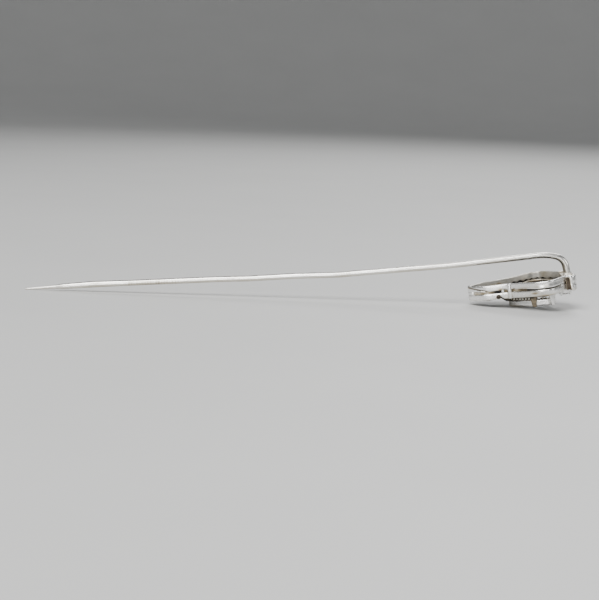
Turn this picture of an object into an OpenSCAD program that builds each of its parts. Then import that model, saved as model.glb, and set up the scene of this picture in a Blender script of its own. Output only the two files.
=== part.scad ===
// Jewelled stick pin, lying face down: a bent wire pin soldered to a double-rail leaf-shaped head.
// Millimetres. +X runs along the pin from its point to the head, +Z is up, and the floor is z = 0.
// The head is drawn lying flat first: its back plane is z = 0 and its face looks down, towards -Z.
// The whole pin is then tipped by pitch, so that the wire's point and the raised centre touch the floor.

/* [Overall] */
// Length of the head, from its point to the top of its crest
head_len = 12.9; // [10:0.1:18]
// Width of the head across its two shoulders
head_w = 9.4; // [7:0.1:13]
// Reach of the pin wire from its post to its point, along the head's back
stem_len = 65.2; // [45:0.1:90]
// How far the post stands in from the top of the crest
post_inset = 0.8; // [0.8:0.05:1.5]

/* [Pin wire] */
// Diameter of the pin wire
wire_d = 0.67; // [0.5:0.01:1.2]
// Height of the wire over the head's back, where its bend begins
stem_lift = 2.55; // [1.5:0.05:5]
// How much further the wire has drifted from the head's back at its point
stem_drift = 4.65; // [0:0.01:10]
// Radius of the gentle start of the bend, at the wire's centre line
lead_r = 7; // [2:0.1:9]
// How far the gentle start turns, in degrees
lead_angle = 20; // [5:1:40]
// Radius of the tight part of the bend, at the wire's centre line
bend_r = 1.6; // [1:0.05:2.5]
// Angle of the post to the head's back, in degrees
post_angle = 86; // [60:1:89]
// How much a kink swells the wire, as a factor on its radius
kink_swell = 1.03; // [1.01:0.01:1.2]
// Diameter at the very end of the ground point
tip_d = 0.15; // [0.05:0.01:0.4]
// Width of the solder fillet round the post, beyond the wire
solder_spread = 0.3; // [0.1:0.01:1]
// Height of the solder fillet
solder_h = 0.34; // [0.1:0.01:1]

/* [Rails] */
// Thickness of both rails, measured inwards
rail_t = 0.42; // [0.25:0.01:1]
// Height of the rear rail
rear_rail_h = 0.65; // [0.3:0.01:1.5]
// Height of the open slot between the two rails
slot_h = 0.42; // [0.2:0.01:1.5]
// Height of the front rail
front_rail_h = 0.7; // [0.3:0.01:1.5]
// Rounding of the rails' outer edges
rail_edge = 0.13; // [0.02:0.01:0.3]
// How far both rails dip towards the face along the crest
crest_dip = 0.15; // [0:0.01:0.35]
// Diameter of the round posts at the waist
waist_post_d = 0.5; // [0.3:0.01:1]
// Thickness of rail left behind each waist post
waist_post_wall = 0.12; // [0.05:0.01:0.3]
// Diameter of the round spacers beside the waist posts
spacer_d = 0.36; // [0.2:0.01:1]
// Width of the blocks that fill the slot in the two notches
block_w = 0.8; // [0.3:0.01:1.2]
// Width of the block that fills the slot at the head's point
point_block_w = 1.6; // [0.6:0.05:3]
// Diameter of the drilled beads let into the front rail beside the waist posts
waist_bead_d = 0.56; // [0.3:0.01:0.6]
// Diameter of the hole in each waist bead
waist_bead_hole_d = 0.24; // [0.1:0.01:0.4]
// Depth of the plate that carries the post, below the head's back
crest_plate_drop = 0.2; // [0:0.01:0.3]
// Thickness of the plate that carries the post
crest_plate_t = 0.45; // [0.2:0.01:0.6]
// How far the crest plate reaches towards the pin's point from the post
crest_plate_reach = 0.7; // [0.4:0.05:2]

/* [Deck and small stones] */
// Thickness of the pierced deck that carries the stones
deck_t = 0.3; // [0.15:0.01:0.6]
// How far the deck's face stands in from the front rail's edge
deck_inset = 0.22; // [0:0.01:0.5]
// Diameter of the small stones along the shoulders
small_stone_d = 0.72; // [0.4:0.01:1.2]
// Gap between the small stones
small_stone_gap = 0.16; // [0.06:0.01:0.5]
// Clearance between the small stones and the rail
small_stone_clear = 0.12; // [0.04:0.01:0.5]
// Diameter of the grains between the small stones
grain_d = 0.2; // [0.08:0.01:0.4]

/* [Raised centre] */
// Length of the raised centre
centre_len = 5.5; // [4:0.1:7]
// Width of the raised centre
centre_w = 5.3; // [3:0.1:6]
// Distance from the post to the near end of the raised centre
centre_back = 1.9; // [1.5:0.01:3]
// Wall thickness of the raised centre's base ring
centre_wall = 0.42; // [0.25:0.01:0.8]
// Height of the base ring over the deck
base_h = 0.5; // [0.2:0.01:1]
// Height of the row of gallery posts
gallery_h = 0.4; // [0.2:0.01:1]
// Diameter of each gallery post
gallery_d = 0.26; // [0.12:0.01:0.5]
// Spacing of the gallery posts
gallery_pitch = 0.41; // [0.3:0.01:1]
// Height of the smooth bezel at the point end of the raised centre
bezel_h = 0.64; // [0.3:0.01:1.5]
// How much taller the bezel stands at the crest end
bezel_rake = 0.18; // [0:0.01:0.6]
// How far the base ring and gallery posts stand in from the bezel's side
gallery_inset = 0.1; // [0.02:0.01:0.3]
// Clearance between the bezel and the centre stone
stone_clear = 0.02; // [0.01:0.01:0.1]
// Width of each claw at the deck
claw_w = 0.9; // [0.3:0.01:1.5]
// Width of each claw at its end
claw_end_w = 0.42; // [0.2:0.01:1]
// How thick each claw stands out from the bezel
claw_t = 0.26; // [0.15:0.01:0.6]
// Length of the tongue that rises to the raised centre's point
tongue_len = 1.15; // [0.5:0.05:1.3]
// Width of the tongue
tongue_w = 1.1; // [0.5:0.05:2]

/* [Round settings] */
// Outside diameter of the round setting in the crest
crest_setting_d = 1.6; // [1:0.01:1.8]
// Height of the crest setting over the deck
crest_setting_h = 0.8; // [0.4:0.01:1.5]
// Outside diameter of the flush setting in the lower lobe
lobe_setting_d = 1.7; // [1:0.01:1.8]
// Height of the lobe setting over the deck
lobe_setting_h = 0.3; // [0.1:0.01:0.6]
// Distance from the head's point to the middle of the lobe setting
lobe_setting_at = 2.35; // [2.3:0.05:2.6]
// Wall thickness of the two round settings
setting_wall = 0.22; // [0.1:0.01:0.4]
// Diameter of the four claws on the crest setting
crest_claw_d = 0.3; // [0.15:0.01:0.5]

/* [Hidden] */
$fn = 48;
steps = 4;
wire_r = wire_d / 2;
tip_r = tip_d / 2;
crest_x = post_inset;
point_x = post_inset - head_len;
half_w = head_w / 2;

// Depths in front of the head's back plane
front_z = rear_rail_h + slot_h;
rail_end = front_z + front_rail_h;
deck_face = rail_end - deck_inset;
deck_back = deck_face - deck_t;
base_end = deck_face + base_h;
gallery_end = base_end + gallery_h;
bezel_end = gallery_end + bezel_h;
far_end = bezel_end + bezel_rake;

// Corners of the head from its point to its crest: share of length, share of half width,
// and how far the rounding runs along the shorter of the two edges that meet there
head_corners = [
  [0, 0.1, 0.24], [0.125, 0.415, 0.28], [0.368, 0.52, 0.19], [0.612, 1, 0.34],
  [0.744, 1, 0.36], [0.903, 0.47, 0.21], [0.96, 0.64, 0.76], [1, 0.33, 0.2],
];
// Corners of the raised centre, in the same way
centre_corners = [[0, 0.14, 0.44], [0.494, 1, 0.36], [0.895, 1, 0.48], [1, 0.62, 0.2]];
// Kinks of the wire: share of its reach, share of its drift
kinks = [
  [1, 1], [0.874, 0.871], [0.642, 0.547], [0.587, 0.455], [0.495, 0.345],
  [0.421, 0.226], [0.366, 0.185], [0.218, 0.062],
];
// Shape of the ground point: share of its length, share of the wire's radius
point_profile = [[0, 1], [0.48, 0.85], [0.56, 0.6], [0.68, 0.5], [0.97, 0.27]];

// Unit vector along v
function unit(v) = v / norm(v);
// All corners of an outline, counterclockwise, from the corners on one side
function outline_corners(list, x0, len, half) = concat(
  [for (i = [0:len(list) - 1]) [x0 + len * list[i][0], -half * list[i][1], list[i][2]]],
  [for (i = [len(list) - 1:-1:0]) [x0 + len * list[i][0], half * list[i][1], list[i][2]]]
);
// Arc of points with outward directions at corner b, between its neighbours a and c
function corner_arc(a, b, c, share) =
  let (
    u = unit(a - b),
    v = unit(c - b),
    half = acos(u * v) / 2,
    run = share * min(norm(a - b), norm(c - b)),
    r = run * tan(half),
    m = b + unit(u + v) * r / sin(half),
    p = b + u * run,
    q = b + v * run,
    a0 = atan2(p.y - m.y, p.x - m.x),
    sweep = (atan2(q.y - m.y, q.x - m.x) - a0 + 540) % 360 - 180,
    out = sweep > 0 ? 1 : -1
  )
  [for (k = [0:steps]) let (t = a0 + sweep * k / steps, d = [cos(t), sin(t)]) [m + r * d, out * d]];
// Rounded outline as pairs of a point and its outward direction
function rounded(c) = [
  for (i = [0:len(c) - 1])
    let (n = len(c), a = c[(i + n - 1) % n], b = c[i], d = c[(i + 1) % n])
      each corner_arc([a.x, a.y], [b.x, b.y], [d.x, d.y], b[2])
];
// Points of a rounded outline, moved inwards
function inset(line, by) = [for (p = line) p[0] - by * p[1]];
// Points of a rounded outline, shrunk about the point m
function shrunk(line, share, m) = [for (p = line) m + share * (p[0] - m)];
// Point on a chain of points at distance s along it
function spot(p, s, k) = let (d = norm(p[k + 1] - p[k]))
  (s <= d || k + 2 >= len(p)) ? [p[k] + unit(p[k + 1] - p[k]) * s, unit(p[k + 1] - p[k])] : spot(p, s - d, k + 1);
// Length of a chain of points
function chain_len(p, k) = k + 1 >= len(p) ? 0 : norm(p[k + 1] - p[k]) + chain_len(p, k + 1);

head_line = rounded(outline_corners(head_corners, point_x, head_len, half_w));
centre_x = -centre_back - centre_len;
centre_mid = [centre_x + 0.56 * centre_len, 0];
centre_line = rounded(outline_corners(centre_corners, centre_x, centre_len, centre_w / 2));
// Middle of the arc at corner i, moved inwards
function head_at(i, by) = let (p = head_line[i * (steps + 1) + steps / 2]) p[0] - by * p[1];
// Place beside the waist on one side: share 0 is the waist, share 1 the next corner towards the head's point
function waist_at(side, share, by) =
  let (a = head_at(side > 0 ? 13 : 2, by), b = head_at(side > 0 ? 14 : 1, by)) a + share * (b - a);

// Wire points as [x, height over the head's back]
lead_drop = lead_r * (1 - cos(lead_angle));
bend_drop = bend_r * (cos(lead_angle) - cos(post_angle));
post_top = stem_lift - lead_drop - bend_drop;
post_len = post_top / sin(post_angle);
arc_centre = [-post_top / tan(post_angle) - bend_r * sin(post_angle), post_top - bend_r * cos(post_angle)];
bend_x = arc_centre.x - (lead_r - bend_r) * sin(lead_angle);
wire_points = concat([for (k = kinks) [-stem_len * k[0], stem_lift + stem_drift * k[1]]], [[bend_x, stem_lift]]);

// Tip of the floor contact: the wire's point and the raised centre's front edge at its point end
bezel_lean = 0.22;
touch = [centre_x + bezel_lean, -bezel_end];
reach_x = wire_points[0].x - touch.x;
reach_z = wire_points[0].y - touch.y;
pitch = atan2(reach_x, reach_z) + acos(tip_r / norm([reach_x, reach_z]));
lift = -(touch.x * sin(pitch) + touch.y * cos(pitch));
end_low = wire_points[0].x * cos(pitch) - wire_points[0].y * sin(pitch) - tip_r * 0.2;
end_high = crest_x * cos(pitch) + (rail_end + crest_dip - rail_edge) * sin(pitch);
shift = -(end_low + end_high) / 2;

// Tips the flat-drawn head and wire into the resting pose
module rest() {
  translate([shift, 0, lift]) rotate([0, -pitch, 0]) children();
}

// Upright column between two depths
module column(p, r, from, to) {
  translate([p.x, p.y, -to]) cylinder(r = r, h = to - from);
}

// Ring that follows a rounded outline, with the given section of [inset, depth, share of more] corners
// The depth grows by share * more from x = from to x = to
module band(line, section, more, from, to) {
  n = len(line);
  k = len(section);
  points = [
    for (p = line) for (s = section)
      let (q = p[0] - s[0] * p[1], share = s[2] * max(0, min(1, (p[0].x - from) / (to - from))))
        [q.x, q.y, -s[1] - more * share]
  ];
  faces = [
    for (i = [0:n - 1]) for (j = [0:k - 1])
      [i * k + j, i * k + (j + 1) % k, ((i + 1) % n) * k + (j + 1) % k, ((i + 1) % n) * k + j]
  ];
  polyhedron(points, faces);
}

// Round-cut stone with its widest part at depth z
module round_stone(p, d, z) {
  translate([p.x, p.y, -z]) rotate_extrude()
    polygon([[0, 0.62 * d / 2], [d / 2, 0], [d / 2, -0.03], [0.3 * d, -0.16 * d - 0.03], [0, -0.16 * d - 0.03]]);
}

// Straight wire between two wire points
module wire_run(a, b) {
  translate([a.x, 0, a.y]) rotate([0, 90 - atan2(b.y - a.y, b.x - a.x), 0]) cylinder(r = wire_r, h = norm(b - a));
}

module post_wire() {
  rotate([0, post_angle - 90, 0]) translate([0, 0, -1]) cylinder(r = wire_r, h = post_len + 1);
}

// Bent wire of centre-line radius r about the point c, between two angles from the upright
module wire_arc(c, r, from, to) {
  translate([c.x, 0, c.y]) rotate([90, 0, 0])
    rotate_extrude(angle = to - from, start = 90 - to) translate([r, 0]) circle(r = wire_r);
}

module wire_ball(p) {
  translate([p.x, 0, p.y]) sphere(r = wire_r * kink_swell);
}

module stem() {
  last = len(wire_points) - 1;
  tip_len = norm(wire_points[1] - wire_points[0]);
  color("silver") rest() {
    translate([wire_points[1].x, 0, wire_points[1].y])
      rotate([0, -90 + atan2(wire_points[0].y - wire_points[1].y, wire_points[1].x - wire_points[0].x), 0])
        rotate_extrude() polygon(concat(
          [[0, 0]], [for (p = point_profile) [wire_r * p[1], tip_len * p[0]]],
          [[tip_r, tip_len], [tip_r * 0.4, tip_len + tip_r * 0.2], [0, tip_len + tip_r * 0.2]]
        ));
    for (i = [1:last - 1]) wire_run(wire_points[i], wire_points[i + 1]);
    for (i = [1:last]) wire_ball(wire_points[i]);
    wire_arc([bend_x, stem_lift - lead_r], lead_r, 0, lead_angle);
    wire_ball(arc_centre + bend_r * [sin(lead_angle), cos(lead_angle)]);
    wire_arc(arc_centre, bend_r, lead_angle, post_angle);
    wire_ball([-post_len * cos(post_angle), post_top]);
    difference() {
      post_wire();
      translate([-2, -2, -4 - crest_plate_drop]) cube([4, 4, 4]);
    }
  }
}

module stem_solder() {
  color("lightgray") rest() difference() {
    translate([0, 0, -crest_plate_drop])
      cylinder(r1 = wire_r + solder_spread, r2 = wire_r + 0.12, h = solder_h + crest_plate_drop);
    post_wire();
    translate([0, 0, -1]) linear_extrude(height = 1) difference() {
      square(4, center = true);
      polygon(inset(head_line, rail_t));
    }
  }
}

module crest_plate() {
  color("silver") rest() translate([0, 0, -crest_plate_drop - crest_plate_t])
    linear_extrude(height = crest_plate_t) intersection() {
      polygon(inset(head_line, rail_t));
      translate([-crest_plate_reach, -half_w]) square([crest_plate_reach + crest_x, head_w]);
    }
}

// Full-height post at the waist, let into the outside of both rails, which are cut to take it
module waist_column(side) {
  column(waist_at(side, 0, rail_t - waist_post_wall - waist_post_d / 2), waist_post_d / 2, 0, rail_end);
}

// Round spacer in the slot between the rails
module spacer_column(side) {
  column(waist_at(side, 0.28, rail_t / 2), spacer_d / 2, rear_rail_h, front_z);
}

// Part of the slot, filled flush with the rails over a square of width w round the point p
module slot_filling(p, w) {
  translate([0, 0, -front_z]) linear_extrude(height = slot_h) intersection() {
    difference() {
      polygon(inset(head_line, 0));
      polygon(inset(head_line, rail_t));
    }
    translate([p.x - w / 2, p.y - w / 2]) square([w, w]);
  }
}

// Step from the bottom of a notch to the middle of its block
block_off = [-0.47, 0.71];
// The rails dip between these two distances from the post
dip_from = -0.3;
dip_to = 0.3;

// Place of a waist bead: on the front rail's outer side, on the point side of the waist, facing outwards
module bead_place(side) {
  p = waist_at(side, 0.45, 0.02);
  along = waist_at(side, 1, 0) - waist_at(side, 0, 0);
  translate([p.x, p.y, -front_z - front_rail_h * 0.55]) rotate([0, 0, atan2(along.y, along.x) - side * 90])
    rotate([0, 90, 0]) children();
}

// Short rod through the rail's outer two thirds, a little proud
module bead(d) {
  translate([0, 0, -0.3]) cylinder(d = d, h = 0.38);
}

module rear_rail() {
  e = rail_edge;
  h = rear_rail_h;
  color("silver") rest() difference() {
    band(head_line, [
      [e, 0, 1], [0, e, 1], [0, h - e, 1], [e, h, 1], [rail_t, h, 1], [rail_t, 0, 1],
    ], crest_dip, dip_from, dip_to);
    waist_column(1);
    waist_column(-1);
  }
}

module front_rail() {
  e = rail_edge;
  a = front_z;
  b = rail_end;
  color("silver") rest() difference() {
    band(head_line, [
      [e, a, 1], [0, a + e, 1], [0, b - e, 1], [e, b, 1], [rail_t, b, 1], [rail_t, a, 1],
    ], crest_dip, dip_from, dip_to);
    waist_column(1);
    waist_column(-1);
    bead_place(1) bead(waist_bead_d);
    bead_place(-1) bead(waist_bead_d);
  }
}

module waist_post_left() {
  color("silver") rest() waist_column(1);
}

module waist_post_right() {
  color("silver") rest() waist_column(-1);
}

module waist_spacer_left() {
  color("silver") rest() spacer_column(1);
}

module waist_spacer_right() {
  color("silver") rest() spacer_column(-1);
}

module waist_bead_left() {
  color("silver") rest() bead_place(1) difference() {
    bead(waist_bead_d);
    translate([0, 0, -0.15]) cylinder(d = waist_bead_hole_d, h = 1);
  }
}

module waist_bead_right() {
  color("silver") rest() bead_place(-1) difference() {
    bead(waist_bead_d);
    translate([0, 0, -0.15]) cylinder(d = waist_bead_hole_d, h = 1);
  }
}

module corner_block_left() {
  color("silver") rest() slot_filling(head_at(10, 0) + block_off, block_w);
}

module corner_block_right() {
  color("silver") rest() slot_filling(head_at(5, 0) + [block_off.x, -block_off.y], block_w);
}

module point_post() {
  color("silver") rest() slot_filling([point_x, 0], point_block_w);
}

// Path of the small stones along one shoulder, between the waist and the notch
stone_line = inset(head_line, rail_t + small_stone_clear + small_stone_d / 2);
shoulder_path = [for (i = [3 * (steps + 1) - 3:5 * (steps + 1) - 1]) stone_line[i]];
stone_pitch = small_stone_d + small_stone_gap;
stone_count = floor(chain_len(shoulder_path, 0) / stone_pitch);
lobe_at = [point_x + lobe_setting_at, 0];
point_stone_at = [point_x + rail_t + small_stone_clear + small_stone_d / 2 + 0.1, 0];
crest_at = [crest_x - rail_t - 0.1 - crest_setting_d / 2, 0];

module small_stone_places() {
  for (i = [0:stone_count - 1], side = [-1, 1])
    let (p = spot(shoulder_path, (i + 0.5) * stone_pitch, 0)[0])
      translate([p.x, side * p.y]) children();
}

module small_stone() {
  round_stone([0, 0], small_stone_d, deck_face);
}

module deck() {
  color("gainsboro") rest() difference() {
    translate([0, 0, -deck_face]) linear_extrude(height = deck_t) difference() {
      polygon(inset(head_line, rail_t));
      polygon(shrunk(centre_line, 0.6, centre_mid));
      small_stone_places() circle(r = small_stone_d * 0.33);
      translate(point_stone_at) circle(r = small_stone_d * 0.33);
      translate(crest_at) circle(r = crest_setting_d / 2 - setting_wall - 0.1);
      translate(lobe_at) circle(r = lobe_setting_d / 2 - setting_wall - 0.1);
    }
    small_stone_places() small_stone();
    round_stone(point_stone_at, small_stone_d, deck_face);
  }
}

module shoulder_stones() {
  color([0.9, 0.95, 1, 0.6]) rest() small_stone_places() small_stone();
}

module point_stone() {
  color([0.9, 0.95, 1, 0.6]) rest() round_stone(point_stone_at, small_stone_d, deck_face);
}

// Half-round grains in pairs between the small stones
module shoulder_grains() {
  color("silver") rest() difference() {
    for (i = [1:stone_count - 1], side = [-1, 1], out = [-1, 1])
      let (s = spot(shoulder_path, i * stone_pitch, 0), n = [s[1].y, -s[1].x], p = s[0] + n * out * small_stone_d * 0.38)
        translate([p.x, side * p.y, -deck_face]) sphere(d = grain_d);
    translate([point_x, -half_w, -deck_face]) cube([head_len, head_w, grain_d]);
  }
}

module centre_base() {
  g = gallery_inset;
  w = g + centre_wall;
  color("silver") rest()
    band(centre_line, [[g, deck_face, 0], [g, base_end, 0], [w, base_end, 0], [w, deck_face, 0]], 0, 0, 1);
}

// Tongue on the deck that rises to the raised centre's point
module point_tongue() {
  color("silver") rest() difference() {
    translate([centre_x + 0.2, tongue_w / 2, 0]) rotate([90, 0, 0]) linear_extrude(height = tongue_w) polygon([
      [0, -deck_face], [-tongue_len - 0.2, -deck_face], [-tongue_len - 0.2, -deck_face - 0.18],
      [-0.5, -gallery_end + 0.06], [0, -gallery_end + 0.06],
    ]);
    translate([0, 0, -far_end]) linear_extrude(height = far_end) polygon(inset(centre_line, gallery_inset));
  }
}

gallery_line = inset(centre_line, gallery_inset + centre_wall / 2);
gallery_loop = concat(gallery_line, [gallery_line[0]]);
gallery_len = chain_len(gallery_loop, 0);
gallery_count = floor(gallery_len / gallery_pitch);

module gallery_posts() {
  color("silver") rest() for (i = [0:gallery_count - 1])
    column(spot(gallery_loop, (i + 0.5) * gallery_len / gallery_count, 0)[0], gallery_d / 2, base_end, gallery_end);
}

// Depth of the bezel's seat, and how far the seat reaches inwards
seat_z = gallery_end + 0.22;
seat_in = 0.6;
bezel_wall = 0.38;

module centre_bezel() {
  w = bezel_wall;
  color("silver") rest() band(centre_line, [
    [0, gallery_end, 0], [0, bezel_end - 0.2, 1], [0.08, bezel_end - 0.05, 1], [bezel_lean, bezel_end, 1],
    [w, bezel_end, 1], [w, seat_z, 0], [seat_in, seat_z, 0], [seat_in, gallery_end, 0],
  ], bezel_rake, centre_x, centre_x + centre_len);
}

// Centre stone: loops of [share of size about its middle, depth] between a flat table and a small culet
module centre_stone() {
  girdle = inset(centre_line, bezel_wall + stone_clear);
  n = len(girdle);
  loops = [[0.7, bezel_end - 0.05], [1, seat_z + 0.2], [1, seat_z], [0.8, seat_z], [0.25, deck_face - 0.1]];
  points = [for (l = loops) for (p = girdle) let (q = centre_mid + l[0] * (p - centre_mid)) [q.x, q.y, -l[1]]];
  faces = concat(
    [[for (i = [n - 1:-1:0]) i]],
    [for (j = [0:len(loops) - 2]) for (i = [0:n - 1])
      [j * n + i, j * n + (i + 1) % n, (j + 1) * n + (i + 1) % n, (j + 1) * n + i]],
    [[for (i = [0:n - 1]) (len(loops) - 1) * n + i]]
  );
  color([0.9, 0.95, 1, 0.6]) rest() polyhedron(points, faces);
}

// Tapered claw that stands on the deck against the bezel, at corner i of the raised centre
module claw(i) {
  p = centre_line[i * (steps + 1) + steps / 2];
  turn = atan2(p[1].y, p[1].x);
  end = bezel_end + bezel_rake * (p[0].x - centre_x) / centre_len + 0.03;
  difference() {
    translate([p[0].x, p[0].y, 0]) rotate([0, 0, turn]) rotate([90, 0, 90]) translate([0, 0, -0.3])
      linear_extrude(height = claw_t + 0.3) polygon([
        [-claw_w / 2, -deck_face], [claw_w / 2, -deck_face], [claw_end_w / 2, -end], [-claw_end_w / 2, -end],
      ]);
    translate([0, 0, -far_end - 1]) linear_extrude(height = far_end + 1) polygon(inset(centre_line, 0));
  }
}

module side_claw_left() {
  color("silver") rest() claw(6);
}

module side_claw_right() {
  color("silver") rest() claw(1);
}

module end_claw_left() {
  color("silver") rest() claw(5);
}

module end_claw_right() {
  color("silver") rest() claw(2);
}

module crest_claw_columns() {
  for (a = [45:90:315])
    column(crest_at + (crest_setting_d / 2 - 0.06) * [cos(a), sin(a)], crest_claw_d / 2, deck_face,
      deck_face + crest_setting_h + 0.25);
}

// Round setting: a ring with a seat for its stone
module setting(p, d, h) {
  difference() {
    column(p, d / 2, deck_face, deck_face + h);
    column(p, d / 2 - setting_wall - 0.1, deck_face - 0.1, deck_face + h + 0.1);
    round_stone(p, d - 2 * setting_wall, deck_face + h);
  }
}

module crest_setting() {
  color("silver") rest() difference() {
    setting(crest_at, crest_setting_d, crest_setting_h);
    crest_claw_columns();
  }
}

module crest_claws() {
  color("silver") rest() crest_claw_columns();
}

module crest_stone() {
  color([0.9, 0.95, 1, 0.6]) rest()
    round_stone(crest_at, crest_setting_d - 2 * setting_wall, deck_face + crest_setting_h);
}

module lobe_setting() {
  color("silver") rest() setting(lobe_at, lobe_setting_d, lobe_setting_h);
}

module lobe_stone() {
  color([0.9, 0.95, 1, 0.6]) rest()
    round_stone(lobe_at, lobe_setting_d - 2 * setting_wall, deck_face + lobe_setting_h);
}

stem();
stem_solder();
crest_plate();
rear_rail();
front_rail();
waist_post_left();
waist_post_right();
waist_spacer_left();
waist_spacer_right();
waist_bead_left();
waist_bead_right();
corner_block_left();
corner_block_right();
point_post();
deck();
shoulder_stones();
shoulder_grains();
centre_base();
gallery_posts();
centre_bezel();
centre_stone();
point_tongue();
side_claw_left();
side_claw_right();
end_claw_left();
end_claw_right();
crest_setting();
crest_claws();
crest_stone();
lobe_setting();
lobe_stone();
point_stone();
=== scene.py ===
import bpy
import bmesh
import math
from mathutils import Matrix, Vector, noise


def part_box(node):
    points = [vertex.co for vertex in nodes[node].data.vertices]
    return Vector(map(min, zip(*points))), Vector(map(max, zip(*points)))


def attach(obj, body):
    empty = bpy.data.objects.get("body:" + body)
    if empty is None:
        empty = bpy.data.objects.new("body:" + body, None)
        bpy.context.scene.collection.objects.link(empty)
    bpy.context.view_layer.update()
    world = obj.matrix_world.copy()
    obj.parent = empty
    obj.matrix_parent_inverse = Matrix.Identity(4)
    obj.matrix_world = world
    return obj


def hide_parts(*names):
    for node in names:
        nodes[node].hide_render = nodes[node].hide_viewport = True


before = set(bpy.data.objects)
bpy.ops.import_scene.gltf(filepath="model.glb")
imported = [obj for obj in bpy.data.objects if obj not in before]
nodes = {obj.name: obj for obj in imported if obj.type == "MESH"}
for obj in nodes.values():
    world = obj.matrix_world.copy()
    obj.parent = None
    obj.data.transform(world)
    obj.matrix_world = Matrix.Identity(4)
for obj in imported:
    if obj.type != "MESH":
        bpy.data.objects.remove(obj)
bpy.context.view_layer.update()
mm = 0.001

# the head lies tipped, so its own axes come from the deck's flat faces
headUp = Vector()
for face in nodes["deck"].data.polygons:
    if face.normal.z > 0.9:
        headUp += face.normal * face.area
headUp.y = 0
headUp.normalize()
headAlong = Vector((headUp.z, 0, -headUp.x))


def span(node, axis):
    values = [v.co.dot(axis) for v in nodes[node].data.vertices]
    return min(values), max(values)


def depths(node):
    low, high = span(node, headUp)
    return headBack - high, headBack - low


def onHead(x, y, depth):
    # x runs from the top of the crest, negative towards the head's point, and depth towards the face
    return headAlong * (crestEnd + x) + Vector((0, y, 0)) + headUp * (headBack - depth)


pointEnd, crestEnd = span("rear_rail", headAlong)
headBack = span("rear_rail", headUp)[1]
headLen = crestEnd - pointEnd
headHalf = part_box("rear_rail")[1][1]
slotTop, slotBottom = depths("point_post")
railEnd = depths("waist_post_left")[1]
crestDip = depths("front_rail")[1] - railEnd
deckFace = depths("deck")[1]
print("frame read, head", round(headLen / mm, 2), "mm long")


arcSteps = 12  # straight pieces in each rounded corner of an outline
wallSteps = 4  # and in each rounded edge of a section


def roundedLine(corners, startX, length, halfWidth, count):
    # closed outline of even stations, each a point and its outward direction
    # a corner is its share of the length, of the half width, and of the shorter edge that is rounded
    side = [Vector((startX + length * c[0], halfWidth * c[1])) for c in corners]
    corner = [Vector((p.x, -p.y)) for p in side] + side[::-1]
    shares = [c[2] for c in corners] + [c[2] for c in corners[::-1]]
    chain = []
    for i, b in enumerate(corner):
        u = corner[i - 1] - b
        v = corner[(i + 1) % len(corner)] - b
        run = shares[i] * min(u.length, v.length)
        u.normalize()
        v.normalize()
        half = math.acos(u.dot(v)) / 2
        radius = run * math.tan(half)
        middle = b + (u + v).normalized() * radius / math.sin(half)
        start = b + u * run - middle
        end = b + v * run - middle
        turn = math.atan2(start.y, start.x)
        sweep = (math.atan2(end.y, end.x) - turn + 3 * math.pi) % (2 * math.pi) - math.pi
        for k in range(arcSteps + 1):
            angle = turn + sweep * k / arcSteps
            d = Vector((math.cos(angle), math.sin(angle)))
            chain.append((middle + d * radius, d if sweep > 0 else -d))
    chain.append(chain[0])
    run = [0]
    for a, b in zip(chain, chain[1:]):
        run.append(run[-1] + (b[0] - a[0]).length)
    line = []
    k = 0
    for j in range(count):
        at = run[-1] * j / count
        while run[k + 1] < at:
            k += 1
        t = (at - run[k]) / max(run[k + 1] - run[k], 1e-9)
        place = chain[k][0].lerp(chain[k + 1][0], t)
        out = chain[k][1].lerp(chain[k + 1][1], t).normalized()
        line.append((place, out))
    return line


def wobble(x, y, z, size, amount):
    return noise.noise(Vector((x, y, z)) / size) * amount


def bump(x, middle, half):
    # smooth hump of height 1
    t = abs(x - middle) / half
    return 0 if t >= 1 else 0.5 + 0.5 * math.cos(math.pi * t)


def ease(x, start, end):
    t = min(max((x - start) / (end - start), 0), 1)
    return t * t * (3 - 2 * t)


def plateau(x, riseStart, riseEnd, fallStart, fallEnd):
    return ease(x, riseStart, riseEnd) * (1 - ease(x, fallStart, fallEnd))


def strips(bm, loops, closed):
    # skins closed loops of points by drawing the first loop's edges out through the others
    station = bm.verts.layers.int.get("station") or bm.verts.layers.int.new("station")
    ring = bm.verts.layers.int.get("ring") or bm.verts.layers.int.new("ring")
    verts = [bm.verts.new(p) for p in loops[0]]
    for k, v in enumerate(verts):
        v[station] = k
    edges = [bm.edges.new((verts[k - 1], verts[k])) for k in range(len(verts))]
    firstEdges = edges
    firstVerts = verts
    for k, loop in enumerate(loops[1:] + (loops[:1] if closed else [])):
        made = bmesh.ops.extrude_edge_only(bm, edges=edges)["geom"]
        verts = [g for g in made if isinstance(g, bmesh.types.BMVert)]
        edges = [g for g in made if isinstance(g, bmesh.types.BMEdge)]
        for v in verts:
            v.co = loop[v[station]]
            v[ring] = k + 1
    if closed:
        bmesh.ops.remove_doubles(bm, verts=firstVerts + verts, dist=1e-8)
    else:
        bmesh.ops.contextual_create(bm, geom=firstEdges)
        bmesh.ops.contextual_create(bm, geom=edges)


def band(line, section, shape):
    # ring on the head: section is a list of inset and depth, and shape may move each point of it
    bm = bmesh.new()
    loops = []
    for inset, depth in section:
        loop = []
        for point, out in line:
            i, d = shape(point, out, inset, depth)
            loop.append(onHead(point.x - out.x * i, point.y - out.y * i, d))
        loops.append(loop)
    strips(bm, loops, True)
    return bm


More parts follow.
